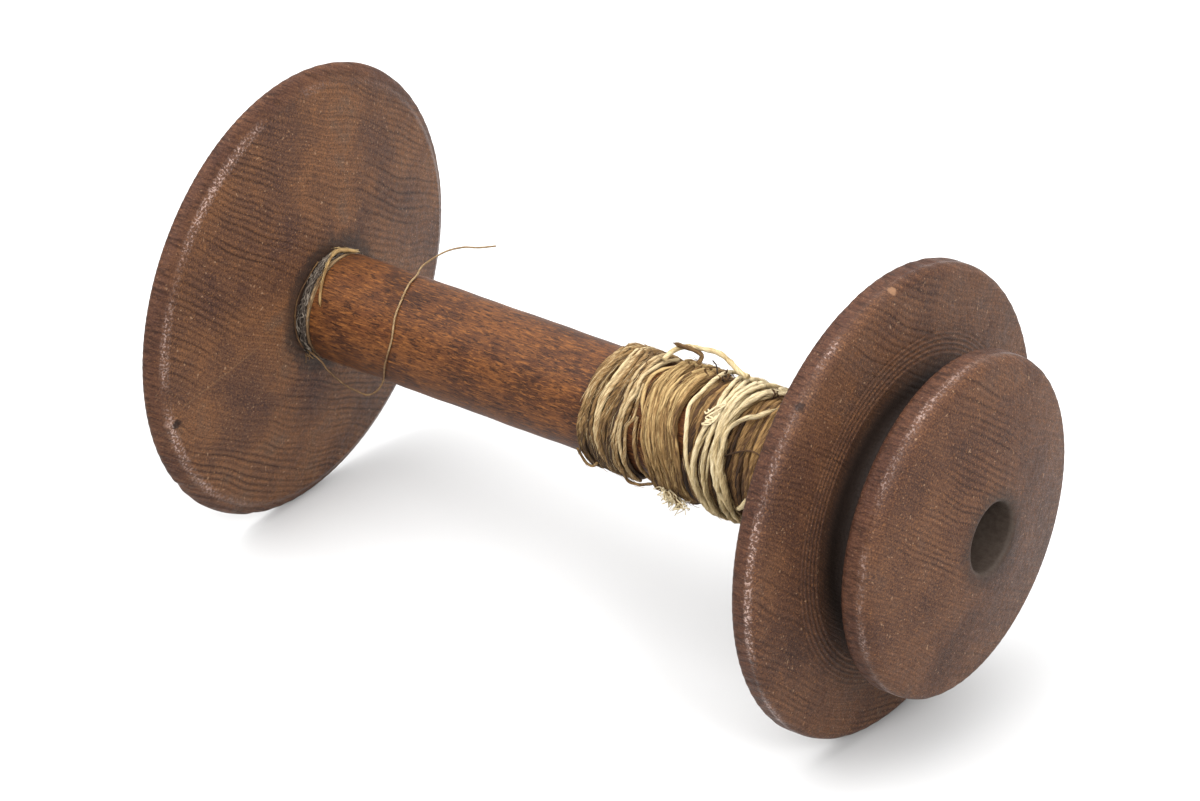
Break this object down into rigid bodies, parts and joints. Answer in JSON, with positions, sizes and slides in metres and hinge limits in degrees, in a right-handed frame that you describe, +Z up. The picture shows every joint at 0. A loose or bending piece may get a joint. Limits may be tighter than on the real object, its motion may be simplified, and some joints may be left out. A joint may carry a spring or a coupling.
{
  "type": "spinning wheel bobbin",
  "caption": "Turned wooden flyer bobbin with a round end flange, a whorl with a drive-band groove, a through bore, and leftover turns of linen yarn and loose thread on its barrel.",
  "frame": {"origin": "on the bore's axis, midway between the end flange's outer face and the mouth of the whorl", "axes": "+X along the bore towards the drive whorl, +Z up as the bobbin lies on its two large rims, +Y square to both"},
  "size_m": [0.137, 0.075, 0.075],
  "materials": {
    "barrel_wood": "satin, dark reddish-brown stain worn along the grain",
    "end_flange_wood": "satin, brown stain over close growth rings",
    "whorl_wood": "satin, brown stain over close growth rings, darker in the groove",
    "grey_lint": "matted dusty fibres",
    "thin_thread": "thin hard-twisted thread",
    "mixed_yarn": "mixed cream and brown handspun yarn",
    "tan_yarn": "soft flat tan handspun yarn",
    "brown_yarn": "brown handspun yarn",
    "cream_yarn": "cream round handspun yarn"
  },
  "bodies": {
    "root": {"barrel": "barrel_wood", "end_flange": "end_flange_wood", "drive_whorl": "whorl_wood", "neck_lint": "grey_lint", "neck_thread": "thin_thread", "neck_strand": "tan_yarn", "loose_thread": "thin_thread", "striped_winding": "mixed_yarn", "tan_winding": "tan_yarn", "brown_winding": "brown_yarn", "cream_winding": "cream_yarn", "cream_turn": "cream_yarn", "cream_arch": "cream_yarn", "brown_stub": "brown_yarn", "left_loop": "brown_yarn", "middle_loop": "brown_yarn", "frayed_knot": "cream_yarn", "short_end": "cream_yarn"}
  },
  "joints": []
}
